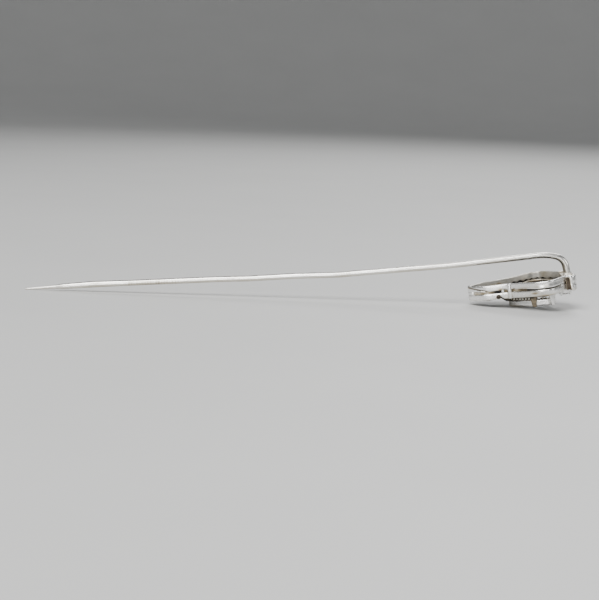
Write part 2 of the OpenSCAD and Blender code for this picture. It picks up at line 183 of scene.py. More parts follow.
def wallSection(outer, inner, top, bottom, edge, rows):
    # rounded box section, walked down the outside and up the inside
    section = []
    for k in range(wallSteps + 1):
        t = math.radians(90 - 90 * k / wallSteps)
        section.append((outer + edge - edge * math.cos(t), top + edge - edge * math.sin(t)))
    for k in range(1, rows):
        section.append((outer, top + edge + (bottom - top - 2 * edge) * k / rows))
    for k in range(wallSteps + 1):
        t = math.radians(90 * k / wallSteps)
        section.append((outer + edge - edge * math.cos(t), bottom - edge + edge * math.sin(t)))
    soft = edge * 0.45  # the inside edges are less worn
    nick = soft * 0.3
    middle = (outer + inner) / 2
    section += [(middle, bottom), (inner - soft, bottom)]
    section += [(inner - nick, bottom - nick), (inner, bottom - soft)]
    half = rows // 2
    for k in range(1, half):
        section.append((inner, bottom - soft - (bottom - top - 2 * soft) * k / half))
    section += [(inner, top + soft), (inner - nick, top + nick), (inner - soft, top), (middle, top)]
    return section


def makePiece(name, bm, material, stands, sharp=38):
    bmesh.ops.recalc_face_normals(bm, faces=bm.faces)
    mesh = bpy.data.meshes.new(name)
    bm.to_mesh(mesh)
    bm.free()
    if sharp:
        mesh.polygons.foreach_set("use_smooth", [True] * len(mesh.polygons))
        mesh.set_sharp_from_angle(angle=math.radians(sharp))
    piece = bpy.data.objects.new(name, mesh)
    bpy.context.scene.collection.objects.link(piece)
    mesh.materials.append(material)
    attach(piece, "root")
    if stands:
        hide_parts(*stands)
    return piece


def fromNode(node):
    # merged copy of a fixed node's mesh, to be worked on
    bm = bmesh.new()
    bm.from_mesh(nodes[node].data)
    bmesh.ops.remove_doubles(bm, verts=bm.verts, dist=1e-7)
    bmesh.ops.dissolve_limit(bm, angle_limit=math.radians(2), verts=bm.verts, edges=bm.edges)
    return bm


def softened(node, name, material, width):
    # the fixed piece with its sharp edges rubbed round
    bm = fromNode(node)
    limit = math.radians(28)
    sharp = [e for e in bm.edges if len(e.link_faces) == 2 and e.calc_face_angle() > limit]
    bmesh.ops.bevel(bm, geom=sharp, offset=width, offset_type="OFFSET", affect="EDGES", segments=3,
                    profile=0.5, material=-1, clamp_overlap=True)
    return makePiece(name, bm, material, [node])


def startMaterial(name):
    material = bpy.data.materials.new(name)
    material.use_nodes = True
    tree = material.node_tree
    place = tree.nodes.new("ShaderNodeTexCoord")
    return material, tree, tree.nodes["Principled BSDF"], place.outputs["Object"]


def mapped(tree, source, scale):
    node = tree.nodes.new("ShaderNodeMapping")
    node.inputs["Scale"].default_value = scale
    tree.links.new(source, node.inputs["Vector"])
    return node.outputs["Vector"]


def cloud(tree, source, scale, detail=3, rough=0.55):
    node = tree.nodes.new("ShaderNodeTexNoise")
    node.inputs["Scale"].default_value = scale
    node.inputs["Detail"].default_value = detail
    node.inputs["Roughness"].default_value = rough
    tree.links.new(source, node.inputs["Vector"])
    return node.outputs["Fac"]


def between(tree, source, fromLow, fromHigh, toLow, toHigh):
    node = tree.nodes.new("ShaderNodeMapRange")
    node.inputs["From Min"].default_value = fromLow
    node.inputs["From Max"].default_value = fromHigh
    node.inputs["To Min"].default_value = toLow
    node.inputs["To Max"].default_value = toHigh
    tree.links.new(source, node.inputs["Value"])
    return node.outputs["Result"]


def sums(tree, kind, a, b):
    node = tree.nodes.new("ShaderNodeMath")
    node.operation = kind
    node.use_clamp = True
    for k, value in enumerate((a, b)):
        if isinstance(value, (int, float)):
            node.inputs[k].default_value = value
        else:
            tree.links.new(value, node.inputs[k])
    return node.outputs[0]


def blended(tree, factor, colours):
    node = tree.nodes.new("ShaderNodeValToRGB")
    ramp = node.color_ramp
    for k, (at, colour) in enumerate(colours):
        stop = ramp.elements[k] if k < 2 else ramp.elements.new(at)
        stop.position = at
        stop.color = (*colour, 1)
    tree.links.new(factor, node.inputs["Fac"])
    return node.outputs["Color"]


def bumped(tree, bsdf, height, strength, distance, under=None):
    node = tree.nodes.new("ShaderNodeBump")
    node.inputs["Strength"].default_value = strength
    node.inputs["Distance"].default_value = distance
    tree.links.new(height, node.inputs["Height"])
    if under:
        tree.links.new(under, node.inputs["Normal"])
    tree.links.new(node.outputs["Normal"], bsdf.inputs["Normal"])
    return node.outputs["Normal"]


silverTones = {
    "bright": (0.93, 0.925, 0.91),
    "worn": (0.80, 0.785, 0.73),
    "warm": (0.40, 0.33, 0.22),
    "brown": (0.055, 0.040, 0.026),
    "black": (0.012, 0.010, 0.010),
}


silverLook = {
    "hollowSamples": 8,
    "patchScale": 900,
    "patchStrengths": (0.45, 1.25),  # how much less or more a hollow is toned from patch to patch
    "veilScale": 350,
    "veil": 0.16,
    "dullMetal": 0.45,  # a toned skin is less of a mirror
    "scratchScale": 9000,
    "scratchStretch": (0.3, 0.3, 1),
    "scratchDepth": 0.008 * mm,
    "roughening": 0.32,
    "dentScale": 1100,
    "dentDepth": 0.02 * mm,
}


def paintedToneAndShade(tree):
    node = tree.nodes.new("ShaderNodeAttribute")
    node.attribute_name = "toneAndShade"
    return node.outputs["Fac"]


def silverFinish(name, toned, rough, base=0, reach=0.45 * mm, darkest="brown", painted=False):
    # polished silver whose hollows have gone warm brown, with fine scratches and base for darkening the
    # whole piece
    s = silverLook
    material, tree, bsdf, place = startMaterial(name)
    hollow = tree.nodes.new("ShaderNodeAmbientOcclusion")
    hollow.samples = s["hollowSamples"]
    hollow.inputs["Distance"].default_value = reach
    shut = between(tree, hollow.outputs["AO"], 0.85, 0.15, 0, toned)
    patch = cloud(tree, place, s["patchScale"], 4)
    tarnishAndShade = sums(tree, "MULTIPLY", shut, between(tree, patch, 0.3, 0.65, *s["patchStrengths"]))
    if base:
        overall = between(tree, patch, 0.25, 0.75, base * 0.6, base * 1.4)
        tarnishAndShade = sums(tree, "ADD", tarnishAndShade, overall)
    # painted pieces add their per-point attribute, which holds painted shade as well as tone
    if painted:
        tarnishAndShade = sums(tree, "ADD", tarnishAndShade, paintedToneAndShade(tree))
    veil = between(tree, cloud(tree, place, s["veilScale"], 2), 0.45, 0.75, 0, s["veil"])
    tarnishAndShade = sums(tree, "ADD", tarnishAndShade, veil)
    colour = blended(tree, tarnishAndShade, [(0, silverTones["bright"]), (1, silverTones[darkest]),
                                     (0.22, silverTones["worn"]), (0.6, silverTones["warm"])])
    tree.links.new(colour, bsdf.inputs["Base Color"])
    tree.links.new(between(tree, tarnishAndShade, 0.12, 0.6, 1, s["dullMetal"]), bsdf.inputs["Metallic"])
    scratch = cloud(tree, mapped(tree, place, s["scratchStretch"]), s["scratchScale"], 5, 0.65)
    worn = sums(tree, "ADD", scratch, sums(tree, "MULTIPLY", tarnishAndShade, 0.8))
    tree.links.new(between(tree, worn, 0.3, 1, rough, rough + s["roughening"]), bsdf.inputs["Roughness"])
    dents = bumped(tree, bsdf, cloud(tree, place, s["dentScale"], 2), 0.5, s["dentDepth"])
    bumped(tree, bsdf, scratch, 0.35, s["scratchDepth"], dents)
    return material


pasteLook = {
    "clear": (0.97, 0.985, 1.0),
    "cloudScale": 500,
    "dustScale": 4000,
    "smoothest": 0.01,
    "roughest": 0.05,
    "ior": 1.62,
}


def stoneFinish(name, tint):
    p = pasteLook
    material, tree, bsdf, place = startMaterial(name)
    colour = blended(tree, cloud(tree, place, p["cloudScale"], 2), [(0.3, tint), (0.7, p["clear"])])
    tree.links.new(colour, bsdf.inputs["Base Color"])
    dust = between(tree, cloud(tree, place, p["dustScale"]), 0.3, 0.8, p["smoothest"], p["roughest"])
    tree.links.new(dust, bsdf.inputs["Roughness"])
    bsdf.inputs["IOR"].default_value = p["ior"]
    bsdf.inputs["Transmission Weight"].default_value = 1
    return material


railSilver = silverFinish("railSilver", toned=0.9, rough=0.15, painted=True)
innerSilver = silverFinish("innerSilver", toned=0.85, rough=0.26, base=0.3)
postSilver = silverFinish("postSilver", toned=0.7, rough=0.2)
crestSilver = silverFinish("crestSilver", toned=0.3, rough=0.15, painted=True)
linerSilver = silverFinish("linerSilver", toned=0.6, rough=0.4, darkest="black", painted=True)
beadSilver = silverFinish("beadSilver", toned=0.9, rough=0.3, base=0.95)
clawSilver = silverFinish("clawSilver", toned=0.95, rough=0.3, base=0.9, reach=0.7 * mm, darkest="black")
deckSilver = silverFinish("deckSilver", toned=1, rough=0.42, base=1.1, reach=0.9 * mm, darkest="black")
gallerySilver = silverFinish("gallerySilver", toned=1, rough=0.22, base=0.25,
                             reach=0.35 * mm, darkest="black")
bezelSilver = silverFinish("bezelSilver", toned=0.75, rough=0.16)
solderSilver = silverFinish("solderSilver", toned=0.9, rough=0.36, base=0.35, reach=0.6 * mm)
clearStone = stoneFinish("clearStone", (0.90, 0.94, 0.97))
centreGlass = stoneFinish("centreGlass", (0.92, 0.95, 0.98))


wireLook = {
    "tones": [(0, (0.93, 0.92, 0.885)), (1, (0.24, 0.20, 0.15)),
              (0.25, (0.83, 0.81, 0.755)), (0.6, (0.60, 0.55, 0.45))],
    "streakStretch": (0.04, 1, 1),
    "streakScale": 7000,
    "streakTone": 0.16,
    "streakDepth": 0.008 * mm,
    "patchStretch": (0.3, 1, 1),
    "patchScale": 500,
    "patchTone": 0.35,
    "patchDepth": 0.03 * mm,
    "smoothest": 0.2,
    "roughest": 0.42,
}


def wireFinish():
    # drawn wire: long streaks, cloudy patches and the painted shade of its underside
    w = wireLook
    material, tree, bsdf, place = startMaterial("pinWireSilver")
    streak = cloud(tree, mapped(tree, place, w["streakStretch"]), w["streakScale"], 4, 0.6)
    patch = cloud(tree, mapped(tree, place, w["patchStretch"]), w["patchScale"], 3)
    tarnishAndShade = sums(tree, "ADD", between(tree, patch, 0.35, 0.8, 0, w["patchTone"]), paintedToneAndShade(tree))
    tarnishAndShade = sums(tree, "ADD", tarnishAndShade, between(tree, streak, 0.4, 0.8, 0, w["streakTone"]))
    tree.links.new(blended(tree, tarnishAndShade, w["tones"]), bsdf.inputs["Base Color"])
    bsdf.inputs["Metallic"].default_value = 1
    rough = between(tree, sums(tree, "ADD", streak, tarnishAndShade), 0.3, 1.2, w["smoothest"], w["roughest"])
    tree.links.new(rough, bsdf.inputs["Roughness"])
    dents = bumped(tree, bsdf, patch, 0.4, w["patchDepth"])
    bumped(tree, bsdf, streak, 0.3, w["streakDepth"], dents)
    return material


pinWireSilver = wireFinish()
print("finishes ready")

pinWire = {
    "radius": 0.335 * mm,
    "reach": 65.2 * mm,
    "lift": 2.55 * mm,
    "drift": 4.65 * mm,
    "leadRadius": 7 * mm,
    "leadAngle": 20,
    "leadSteps": 8,
    "bendRadius": 1.6 * mm,
    "bendSteps": 16,
    "postAngle": 86,
    "postInset": 0.8 * mm,
    "postFoot": (0.02 * mm, -0.2 * mm),  # inside the crest plate
    # share of the reach and of the drift at each kink
    "kinks": [(0.218, 0.062), (0.366, 0.185), (0.421, 0.226), (0.495, 0.345), (0.587, 0.455),
              (0.642, 0.547), (0.874, 0.871), (1, 1)],
    "rubs": 9,  # times the kinks are rubbed round
    # share of the ground length and of the radius
    "groundPoint": [(0, 1), (0.44, 0.87), (0.55, 0.63), (0.68, 0.52), (0.97, 0.28), (1, 0.2)],
    "toolMarks": [(-21.2 * mm, -13.9 * mm), (3.9 * mm, 6.4 * mm)],
    "markFade": 0.6 * mm,
    "markPitch": 0.33 * mm,
    "markDepth": 0.02 * mm,
    "markStrength": 0.55,
    "markChange": (0.7 * mm, 0.9),
    "fullness": 1.04,
    "postSwell": 0.24,
    "postSwellEnds": (0.9 * mm, 3.4 * mm),
    "pointSwell": 0.1,
    "pointSwellPlace": (7.5 * mm, 5.5 * mm),  # middle and half length, from the point
    "waveRound": 0.6 * mm,
    "wave": (1.3 * mm, 0.010 * mm),
    "burr": 6.0 * mm,  # under the wire, on the near side
    "burrTurn": 322,
    "burrLong": 0.12 * mm,
    "burrWide": 0.35,
    "burrHeight": 0.055 * mm,
    "underShade": 0.42,
    "bendTone": 0.2,
    "bendToneEnds": (1.0 * mm, 6.5 * mm),
    "markTone": 0.3,
    "step": 0.07 * mm,
    "sides": 20,
}


def wirePath():
    # centre line from inside the crest plate over the bend to the point, as x and height on the head
    w = pinWire
    lead = math.radians(w["leadAngle"])
    post = math.radians(w["postAngle"])
    bend = w["bendRadius"]
    turn = w["leadRadius"]
    top = w["lift"] - turn * (1 - math.cos(lead)) - bend * (math.cos(lead) - math.cos(post))
    postX = -top / math.tan(post)
    centre = Vector((postX - bend * math.sin(post), top - bend * math.cos(post)))
    leadX = centre.x - (turn - bend) * math.sin(lead)
    path = [Vector(w["postFoot"]), Vector((postX, top))]
    for k in range(1, w["bendSteps"] + 1):
        t = post + (lead - post) * k / w["bendSteps"]
        path.append(centre + bend * Vector((math.sin(t), math.cos(t))))
    for k in range(1, w["leadSteps"] + 1):
        t = lead * (1 - k / w["leadSteps"])
        path.append(Vector((leadX + turn * math.sin(t), w["lift"] - turn * (1 - math.cos(t)))))
    for reach, drift in w["kinks"]:
        path.append(Vector((-w["reach"] * reach, w["lift"] + w["drift"] * drift)))
    # even steps, then the kinks rubbed round
    stations = [path[0]]
    for a, b in zip(path, path[1:]):
        count = max(1, round((b - a).length / w["step"]))
        stations += [a.lerp(b, k / count) for k in range(1, count + 1)]
    for _ in range(w["rubs"]):
        rubbed = [(a + 2 * b + c) / 4 for a, b, c in zip(stations, stations[1:], stations[2:])]
        stations = [stations[0]] + rubbed + [stations[-1]]
    return stations


def pointShare(t):
    profile = pinWire["groundPoint"]
    for (a, ra), (b, rb) in zip(profile, profile[1:]):
        if t <= b:
            return ra + (rb - ra) * (t - a) / (b - a)
    return profile[-1][1]


def toolBite(x):
    # how deep the crosswise tool marks are at a place along the floor
    w = pinWire
    bite = 0
    for start, end in w["toolMarks"]:
        inside = plateau(x, start, start + w["markFade"], end - w["markFade"], end)
        deep = w["markStrength"] + wobble(x, 0, 0, *w["markChange"])
        bite += inside * max(0, deep) * (0.5 + 0.5 * math.sin(2 * math.pi * x / w["markPitch"]))
    return bite


def makePinWire():
    w = pinWire
    path = wirePath()
    groundLen = w["reach"] * (w["kinks"][-1][0] - w["kinks"][-2][0])
    run = [0]
    for a, b in zip(path, path[1:]):
        run.append(run[-1] + (b - a).length)
    bm = bmesh.new()
    loops = []
    shadeAndMarks = []
    for k, p in enumerate(path):
        ahead = (path[min(k + 1, len(path) - 1)] - path[max(k - 1, 0)]).normalized()
        side = Vector((-ahead.y, ahead.x))
        left = run[-1] - run[k]
        radius = w["radius"]
        if left < groundLen:
            radius *= pointShare(1 - left / groundLen)
        bite = toolBite((headAlong * (crestEnd - w["postInset"] + p.x) + headUp * (headBack + p.y)).x)
        radius -= bite * w["markDepth"]
        thick = w["fullness"] + w["postSwell"] * (1 - ease(run[k], *w["postSwellEnds"]))
        thick += w["pointSwell"] * bump(left, *w["pointSwellPlace"])
        bendTone = w["bendTone"] * (1 - ease(run[k], *w["bendToneEnds"]))
        loop = []
        tones = []
        for j in range(w["sides"]):
            t = 2 * math.pi * j / w["sides"]
            down = math.cos(t)
            across = math.sin(t)
            uneven = wobble(run[k], down * w["waveRound"], across * w["waveRound"], *w["wave"])
            r = radius * thick + uneven * min(1, left / mm)
            awayAlong = (run[k] - w["burr"]) / w["burrLong"]
            awayRound = (t - math.radians(w["burrTurn"])) / w["burrWide"]
            r += w["burrHeight"] * math.exp(-awayAlong ** 2 - awayRound ** 2)
            q = p + side * down * r
            loop.append(onHead(q.x - w["postInset"], across * r, -q.y))
            # painted shade: the underside, which faces the floor, is darker, more so near the bend; tool
            # marks darken on one side
            under = max(0, down) ** 0.7 * (w["underShade"] + bendTone)
            tones.append(under + w["markTone"] * bite * max(0, 0.35 + math.cos(t + 0.9)))
        loops.append(loop)
        shadeAndMarks.append(tones)
    strips(bm, loops, False)
    tone = bm.verts.layers.float.new("toneAndShade")
    ring = bm.verts.layers.int.get("ring")
    station = bm.verts.layers.int.get("station")
    for v in bm.verts:
        v[tone] = shadeAndMarks[v[ring]][v[station]]
    return makePiece("pinWire", bm, pinWireSilver, ["stem"], 60)


makePinWire()
print("pin wire done")

# corners from the head's point to its crest: share of length, share of half width, share of edge rounded
headCorners = [(0, 0.1, 0.24), (0.125, 0.415, 0.28), (0.368, 0.52, 0.19), (0.612, 1, 0.34),
               (0.744, 1, 0.36), (0.903, 0.47, 0.21), (0.96, 0.64, 0.76), (1, 0.33, 0.2)]
rails = {
    "thick": 0.42 * mm,
    "edge": 0.12 * mm,
    "stations": 420,
    "rearRows": 18,
    "frontRows": 12,
    "waist": -8.2 * mm,
    "bead": -9.45 * mm,
    "shoulder": (-6.8 * mm, -5.2 * mm, -1.7 * mm, -1.3 * mm),  # where the strips are wider
    "flank": (-3.6 * mm, -1.9 * mm, -1.55 * mm, -1.25 * mm),  # where the rear one is drawn down
    "dipStart": -1.1 * mm,
    "dipEnd": -0.5 * mm,
}
rear = {
    "sideWave": (1.1 * mm, 0.035 * mm),
    "edgeWave": (1.6 * mm, 0.03 * mm),
    "quietWave": 0.4,  # share of the edge wave that the slot side has
    "hollow": 0.05 * mm,
    "hollowPlace": (-4.6 * mm, 3.4 * mm),
    "pits": [(-0.62 * mm, 0.30 * mm), (0.42 * mm, 0.22 * mm)],  # from the waist, and half length
    "pitDepth": 0.16 * mm,
    "wider": 0.05 * mm,
    "shoulderWider": 0.10 * mm,
    "flankWider": 0.05 * mm,
    "scallop": 0.85 * mm,
    "scallopDepth": 0.07 * mm,
    "scallopEnd": -1.9 * mm,
}
seam = {
    "start": 0.13 * mm,
    "slope": 0.235,
    "nearEnd": 0.1 * mm,
    "farEnd": 2.15 * mm,
    "depth": 0.14 * mm,
    "width": 0.05 * mm,
    "toneEnd": 2.3 * mm,
    "toneWidth": 0.06 * mm,
}
front = {
    "sideWave": (1.0 * mm, 0.04 * mm),
    "edgeWave": (1.5 * mm, 0.035 * mm),
    "quietWave": 0.3,  # share of the edge wave that the face side has
    "arch": 0.40 * mm,
    "archHalf": 0.62 * mm,
    "lean": 0.17 * mm,
    "leanAll": 0.03 * mm,
    "leanPlace": (-5.2 * mm, 3.4 * mm),
    "wider": 0.05 * mm,
    "shoulderWider": 0.07 * mm,
}
headLine = roundedLine(headCorners, -headLen, headLen, headHalf, rails["stations"])


def dip(x):
    return crestDip * ease(x, rails["dipStart"], rails["dipEnd"])


def belowSeam(x, depth):
    # the strip's end laps over at the point, and a slanting seam runs down across it
    return depth - seam["start"] - seam["slope"] * (x + headLen)


def rearShape(point, out, inset, depth):
    r = rear
    x, y = point.x, point.y
    waist = rails["waist"]
    share = depth / slotTop
    outer = inset < 0.5 * rails["thick"]
    inset += wobble(x, y, depth, *r["sideWave"])
    depth += wobble(x, y, 3, *r["edgeWave"]) * (1 if share < 0.5 else r["quietWave"])
    if outer:
        if seam["nearEnd"] < x + headLen < seam["farEnd"]:
            inset += seam["depth"] * math.exp(-(belowSeam(x, depth) / seam["width"]) ** 2)
        inset += r["hollow"] * math.sin(math.pi * min(max(share, 0), 1)) * bump(x, *r["hollowPlace"])
        for at, size in r["pits"]:
            inset += r["pitDepth"] * bump(x, waist + at, size) * ease(share, 0.62, 1)
    # the lower edge is drawn down along the flank to the notch
    wider = r["wider"] + r["shoulderWider"] * plateau(x, *rails["shoulder"])
    wider += r["flankWider"] * plateau(x, *rails["flank"])
    depth += wider * ease(share, 0.5, 1)
    # the inner lower edge is scalloped between the waist and the notch
    if not outer and waist < x < r["scallopEnd"]:
        depth += r["scallopDepth"] * math.cos(2 * math.pi * x / r["scallop"]) * ease(share, 0.45, 1)
    return inset, depth + dip(x)


def frontShape(point, out, inset, depth):
    f = front
    x, y = point.x, point.y
    share = (depth - slotBottom) / (railEnd - slotBottom)
    outer = inset < 0.5 * rails["thick"]
    inset += wobble(x, y, depth + 9, *f["sideWave"])
    depth += wobble(x, y, 7, *f["edgeWave"]) * (f["quietWave"] if share > 0.5 else 1)
    # arched over the waist bead
    depth -= f["arch"] * bump(x, rails["bead"], f["archHalf"]) * ease(share, 0.15, 1)
    if outer:
        inset += (f["lean"] * bump(x, *f["leanPlace"]) + f["leanAll"]) * ease(share, 0.2, 1)
    wider = f["wider"] + f["shoulderWider"] * plateau(x, *rails["shoulder"])
    depth -= wider * (1 - ease(share, 0, 0.5))
    return inset, depth + dip(x)


def paintToneAndShade(piece, rule):
    # tone and painted shade from 0 to 1, by the place on the head of each point
    layer = piece.data.attributes.new("toneAndShade", "FLOAT", "POINT")
    values = []
    for v in piece.data.vertices:
        x = v.co.dot(headAlong) - crestEnd
        depth = headBack - v.co.dot(headUp)
        values.append(rule(x, v.co.y, depth))
    layer.data.foreach_set("value", values)


def nearestInset(x, y):
    # how far in from the outline a point on the head lies
    best = min(headLine, key=lambda s: (s[0].x - x) ** 2 + (s[0].y - y) ** 2)
    return (best[0].x - x) * best[1].x + (best[0].y - y) * best[1].y


railTones = {
    # strength, middle and half length of soft spots of darker tone along the head; the front flank spot
    # is painted shade
    "innerFlank": (0.3, -4.2 * mm, 3.6 * mm),
    "rearFlank": (0.9, -4.6 * mm, 1.2 * mm),
    "rearWaist": (0.35, -6.6 * mm, 1.4 * mm),
    "frontFlank": (0.9, -5.2 * mm, 1.3 * mm),
    "frontEdge": (0.4, -4.4 * mm, 2.4 * mm),
    "bead": (0.9, rails["bead"], 0.9 * mm),
    "waist": (1.3, rails["waist"] - 1.2 * mm, 1.1 * mm),
    "clouds": (0.8 * mm, 0.9),
    "streaks": (0.12 * mm, 0.12),
    "innerInset": 0.33 * mm,
    "innerRear": 0.26,
    "innerFront": 0.85,
    "frontAll": 0.18,
    "notch": 1.2,
    "notchStart": (-1.42 * mm, -1.28 * mm),
    "notchEnd": -1.0 * mm,
    "notchSlant": 0.12 * mm,
    "notchFade": 0.12 * mm,
    "notchDepths": (0.16 * mm, 0.26 * mm),
    "rearFlankDepths": (0.25 * mm, 0.55 * mm),
    "rearWaistDepths": (0.35 * mm, 0.6 * mm),
    "waistDepth": 0.45 * mm,
    # and these depths start at the face side of the slot
    "frontFlankDepth": 0.24 * mm,
    "frontFlankHalf": 0.3 * mm,
    "frontStart": 0.3 * mm,
    "beadStart": 0.05 * mm,
}


def spot(name, x):
    strength, middle, half = railTones[name]
    return strength * bump(x, middle, half)


def railToneAndShade(x, y, depth):
    r = railTones
    inner = nearestInset(x, y) > r["innerInset"]
    cloudy = 0.5 + wobble(x, y, depth, *r["clouds"])
    toFace = ease(depth, slotBottom + r["frontStart"], railEnd)
    if inner and depth > slotBottom + 0.02 * mm:
        value = r["innerFront"]
    elif inner:
        value = r["innerRear"] + spot("innerFlank", x) * cloudy
        value += wobble(x * 0.3, y * 0.3, depth, *r["streaks"])
    elif depth < slotTop:
        value = spot("rearFlank", x) * ease(depth, *r["rearFlankDepths"]) * cloudy
        value += spot("rearWaist", x) * ease(depth, *r["rearWaistDepths"])
        if x + headLen < seam["toneEnd"]:
            value += math.exp(-(belowSeam(x, depth) / seam["toneWidth"]) ** 2)
    else:
        # painted shade: a band below the front rail's top edge on the flank, and darker towards the face
        # side, which lies lowest
        value = spot("frontFlank", x) * cloudy
        value *= bump(depth, slotBottom + r["frontFlankDepth"], r["frontFlankHalf"])
        value += (spot("frontEdge", x) + r["frontAll"]) * toFace
    value += spot("bead", x) * ease(depth, slotBottom + r["beadStart"], railEnd) * cloudy
    value += spot("waist", x) * bump(depth, slotTop, r["waistDepth"]) * cloudy
    if not inner:
        # painted shade: the notch is dark down to its slanting far edge
        edge = r["notchSlant"] * depth / railEnd + r["notchEnd"]
        notch = plateau(x, *r["notchStart"], edge, edge + r["notchFade"])
        value += r["notch"] * notch * ease(depth, *r["notchDepths"])
    return max(0, min(value, 1))


rearSection = wallSection(0, rails["thick"], 0, slotTop, rails["edge"], rails["rearRows"])
frontSection = wallSection(0, rails["thick"], slotBottom, railEnd, rails["edge"], rails["frontRows"])
rearBand = band(headLine, rearSection, rearShape)
frontBand = band(headLine, frontSection, frontShape)
rearRail = makePiece("rearRail", rearBand, railSilver, ["rear_rail"], 50)
frontRail = makePiece("frontRail", frontBand, railSilver, ["front_rail"], 50)
for rail in (rearRail, frontRail):
    paintToneAndShade(rail, railToneAndShade)


liner = {
    "thick": 0.11 * mm,
    "edge": 0.03 * mm,
    "overlap": 0.05 * mm,  # how far it reaches behind each rail
    "lobeInset": 0.14 * mm,
    "flankInset": 0.08 * mm,  # set further back along the flanks than in the lobe
    "sag": (0.9 * mm, 0.05 * mm),
    "flankBack": 0.27 * mm,  # insets beyond which it is black
    "lobeBack": 0.2 * mm,
    "tone": 0.52,
    "flankTone": 0.35,
    "flankToneEnds": (-6.6 * mm, -5.4 * mm),
    "waistTone": 0.6,
    "toneChange": (0.5 * mm, 0.35),
}


def linerShape(point, out, inset, depth):
    back = liner["lobeInset"]
    back += liner["flankInset"] * ease(point.x, rails["waist"] - 0.5 * mm, rails["waist"] + 0.5 * mm)
    sag = wobble(point.x, point.y, depth, *liner["sag"])
    return inset + back + sag, depth + dip(point.x)


def linerToneAndShade(x, y, depth):
    back = liner["flankBack"] if x > rails["waist"] else liner["lobeBack"]
    # painted shade: past the back inset the liner is black
    if nearestInset(x, y) > back:
        return 1
    value = liner["tone"] + liner["flankTone"] * ease(x, *liner["flankToneEnds"])
    value += liner["waistTone"] * bump(x, rails["waist"] - 1.2 * mm, 1.2 * mm)
    return value + wobble(x, y, depth, *liner["toneChange"])


def makeSlotLiner():
    # thin strip behind the slot, all the way round; its dark tone is painted shade in the slot
    c = liner
    high = slotTop - c["overlap"]
    low = slotBottom + c["overlap"]
    section = [(c["edge"], high), (0, (slotTop + slotBottom) / 2), (c["edge"], low)]
    section += [(c["thick"], low), (c["thick"], high)]
    piece = makePiece("slotLiner", band(headLine, section, linerShape), linerSilver, [])
    paintToneAndShade(piece, linerToneAndShade)


crestFill = {
    "start": -1.4 * mm,
    "sag": (0.6 * mm, 0.025 * mm),
    "proud": 0.005 * mm,
    "hollow": 0.05 * mm,
    "thick": 0.4 * mm,
    "overlap": 0.15 * mm,
}


def makeCrestFiller():
    # the slot is soldered full and filed flush at the crest
    c = crestFill
    crest = [s for s in headLine if s[0].x > c["start"]]
    start = max(range(len(crest)), key=lambda k: (crest[k][0] - crest[k - 1][0]).length)
    high = slotTop - c["overlap"]
    low = slotBottom + c["overlap"]
    loops = []
    for point, out in crest[start:] + crest[:start]:
        sag = wobble(point.x, point.y, 4, *c["sag"]) - c["proud"]
        section = [(sag, high), (sag + c["hollow"], (slotTop + slotBottom) / 2), (sag, low),
                   (c["thick"], low), (c["thick"], high)]
        loop = []
        for inset, depth in section:
            loop.append(onHead(point.x - out.x * inset, point.y - out.y * inset, depth + dip(point.x)))
        loops.append(loop)
    bm = bmesh.new()
    strips(bm, loops, False)
    piece = makePiece("crestFiller", bm, crestSilver, [], 50)
    paintToneAndShade(piece, railToneAndShade)


makeSlotLiner()
makeCrestFiller()
softened("point_post", "pointBlock", postSilver, width=0.05 * mm)
for side in ("left", "right"):
    softened("waist_post_" + side, "waistPost_" + side, postSilver, width=0.06 * mm)
    softened("waist_spacer_" + side, "waistSpacer_" + side, postSilver, width=0.04 * mm)
    softened("waist_bead_" + side, "waistBead_" + side, beadSilver, width=0.05 * mm)
    softened("corner_block_" + side, "cornerBlock_" + side, postSilver, width=0.06 * mm)
softened("crest_plate", "crestPlate", innerSilver, width=0.05 * mm)
print("rails done")

postSolder = {
    "radius": 0.62 * mm,
    "height": 0.36 * mm,
    "bedded": 0.2 * mm,  # how deep it starts in the crest plate
    "lumps": 0.16,
    "sides": 40,
    "rings": 10,
}


def makeSolder():
    # fillet of solder that climbs the post, lumpy at its foot
    s = postSolder
    bm = bmesh.new()
    loops = []
    top = pinWire["radius"] * 0.99
    for k in range(s["rings"] + 1):
        t = k / s["rings"]
        reach = s["radius"] - (s["radius"] - top) * math.sin(t * math.pi / 2) ** 0.7
        lean = -s["height"] * t / math.tan(math.radians(pinWire["postAngle"]))
        depth = s["bedded"] - (s["height"] + s["bedded"]) * t
        loop = []
        for j in range(s["sides"]):
            a = 2 * math.pi * j / s["sides"]
            r = reach * (1 + wobble(math.cos(a), math.sin(a), t, 0.8, s["lumps"] * (1 - t)))
            loop.append(onHead(lean - pinWire["postInset"] + r * math.cos(a), r * math.sin(a), depth))
        loops.append(loop)
    strips(bm, loops, False)
    return makePiece("postSolder", bm, solderSilver, ["stem_solder"], 60)


makeSolder()

nodes["deck"].data.materials.clear()
nodes["deck"].data.materials.append(deckSilver)
softened("point_tongue", "pointTongue", clawSilver, width=0.08 * mm)

centreCorners = [(0, 0.14, 0.44), (0.494, 1, 0.36), (0.895, 1, 0.48), (1, 0.62, 0.2)]
centre = {
    "stations": 240,
    "wall": 0.38 * mm,
    "seatWall": 0.56 * mm,
    "seat": 0.24 * mm,
    "rim": 0.22 * mm,  # how far in the rim's rounded top reaches
    "sideWave": (1.2 * mm, 0.04 * mm),
    "edgeWave": (0.7 * mm, 0.04 * mm),
    "hollow": 0.05 * mm,
    "hollowPlace": (0.35, 0.4),
    "rake": 0.17 * mm,  # how much lower the bezel stands at its point end
    "back": 0.02 * mm,
}
centreStart, centreEnd = span("centre_bezel", headAlong)
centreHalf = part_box("centre_bezel")[1][1]
galleryEnd, bezelEnd = depths("centre_bezel")
baseEnd = depths("centre_base")[1]


def centreOutline(count):
    return roundedLine(centreCorners, centreStart - crestEnd, centreEnd - centreStart, centreHalf, count)


centreLine = centreOutline(centre["stations"])


